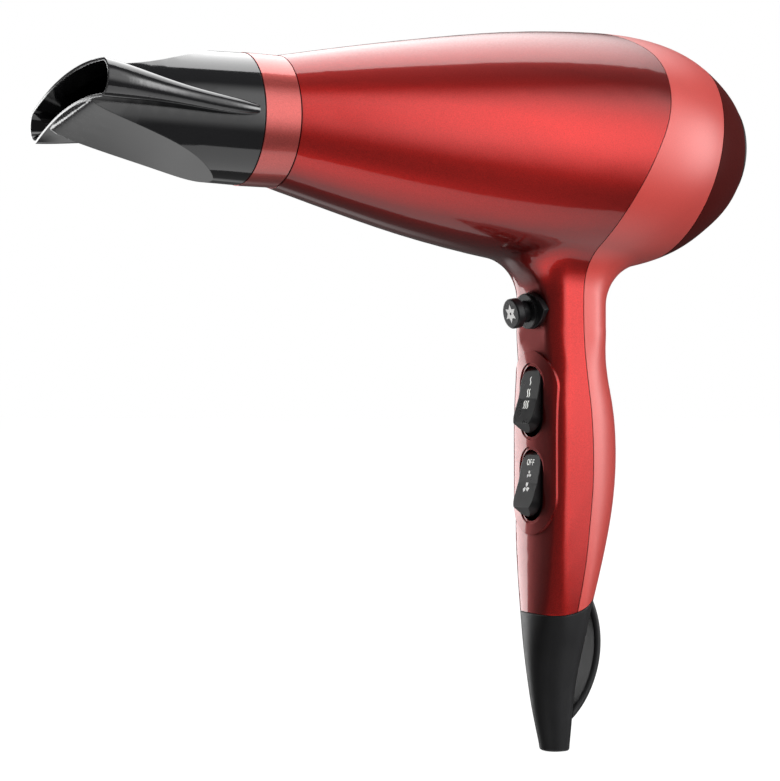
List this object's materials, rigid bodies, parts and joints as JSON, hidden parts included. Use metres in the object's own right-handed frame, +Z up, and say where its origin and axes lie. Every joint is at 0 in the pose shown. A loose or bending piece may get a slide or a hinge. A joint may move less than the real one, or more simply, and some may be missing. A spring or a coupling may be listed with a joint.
{
  "type": "hair dryer",
  "caption": "Pistol-grip hair dryer: tapered barrel, turning slot nozzle, rocker switches and sprung cool button in the handle, removable rear grille, black tail with hanging loop.",
  "frame": {"origin": "middle of the hand grip, on the plane of symmetry", "axes": "+Z up along the handle toward the barrel, +X from the nozzle to the rear grille along the barrel, Y across the handle; -Z is the cord outlet's direction"},
  "size_m": [0.2819, 0.0922, 0.2884],
  "materials": {
    "shell_red": "gloss metallic paint",
    "band_coral": "satin metallic paint",
    "cover_red": "gloss metallic paint",
    "ring_rose": "satin metallic paint",
    "nozzle_black": "high gloss",
    "tail_black": "satin",
    "control_black": "satin",
    "grille_black": "satin",
    "mesh_steel": "woven",
    "duct_black": "matte",
    "switch_housing": "matte",
    "mica": "matte",
    "element_wire": "satin",
    "steel": "satin",
    "motor_steel": "zinc plated",
    "magnet": "matte",
    "bronze": "sintered",
    "copper": "satin",
    "circuit_green": "satin",
    "print_white": "printed mark",
    "lead_white": "satin",
    "lead_brown": "satin",
    "lead_blue": "satin"
  },
  "bodies": {
    "dryer_body": {"front_shell": "shell_red", "back_band": "band_coral", "rear_cover": "cover_red", "front_ring": "ring_rose", "outlet_grille": "duct_black", "heater_board_upright": "mica", "heater_board_flat": "mica", "heater_coil_low": "element_wire", "heater_coil_high": "element_wire", "mica_sleeve": "mica", "thermostat": "steel", "thermal_fuse": "bronze", "air_guide": "duct_black", "fan_duct": "duct_black", "motor_can": "motor_steel", "motor_end_cap": "duct_black", "motor_magnets": "magnet", "bearing_front": "bronze", "bearing_rear": "bronze", "fan_guard": "grille_black", "heat_switch_body": "switch_housing", "speed_switch_body": "switch_housing", "heat_rocker_pin": "steel", "speed_rocker_pin": "steel", "switch_board": "circuit_green", "cool_bezel": "control_black", "cool_switch": "switch_housing", "tail_cap": "tail_black", "hanging_loop": "tail_black", "cord_clamp": "duct_black", "clamp_screw_left": "steel", "clamp_screw_right": "steel", "mains_lead_live": "lead_brown", "mains_lead_neutral": "lead_blue", "motor_lead_feed": "lead_white", "motor_lead_return": "lead_white"},
    "fan_rotor": {"motor_shaft": "steel", "rotor_core": "magnet", "commutator": "copper", "fan_impeller": "duct_black"},
    "heat_rocker": {"heat_rocker": "control_black"},
    "speed_rocker": {"speed_rocker": "control_black"},
    "cool_button": {"cool_button": "control_black", "cool_spring": "steel"},
    "inlet_grille": {"inlet_grille": "grille_black", "filter_mesh": "mesh_steel"},
    "nozzle_carrier": {"nozzle_clip_ring": "steel"},
    "nozzle": {"nozzle": "nozzle_black"}
  },
  "joints": [
    {"name": "nozzle_pull", "type": "slide", "parent": "dryer_body", "child": "nozzle_carrier", "axis": [-1, 0, 0], "range_m": [0, 0.025]},
    {"name": "nozzle_turn", "type": "hinge", "parent": "nozzle_carrier", "child": "nozzle", "pos_m": [-0.1463, 0, 0.12], "axis": [-1, 0, 0], "continuous": true},
    {"name": "heat_rocker_tilt", "type": "hinge", "parent": "dryer_body", "child": "heat_rocker", "pos_m": [-0.0156, 0, 0.0162], "axis": [0, -1, 0], "range_deg": [0, 28]},
    {"name": "speed_rocker_tilt", "type": "hinge", "parent": "dryer_body", "child": "speed_rocker", "pos_m": [-0.0156, 0, -0.0172], "axis": [0, -1, 0], "range_deg": [0, 28]},
    {"name": "cool_press", "type": "slide", "parent": "dryer_body", "child": "cool_button", "axis": [0.9877, 0, 0.1564], "range_m": [0, 0.0025], "stiffness_N_per_m": 500, "springref_m": -0.0015, "deforming": ["cool_spring"]},
    {"name": "fan_spin", "type": "hinge", "parent": "dryer_body", "child": "fan_rotor", "pos_m": [0.032, 0, 0.12], "axis": [1, 0, 0], "continuous": true},
    {"name": "grille_pull", "type": "slide", "parent": "dryer_body", "child": "inlet_grille", "axis": [1, 0, 0], "range_m": [0, 0.02]}
  ]
}
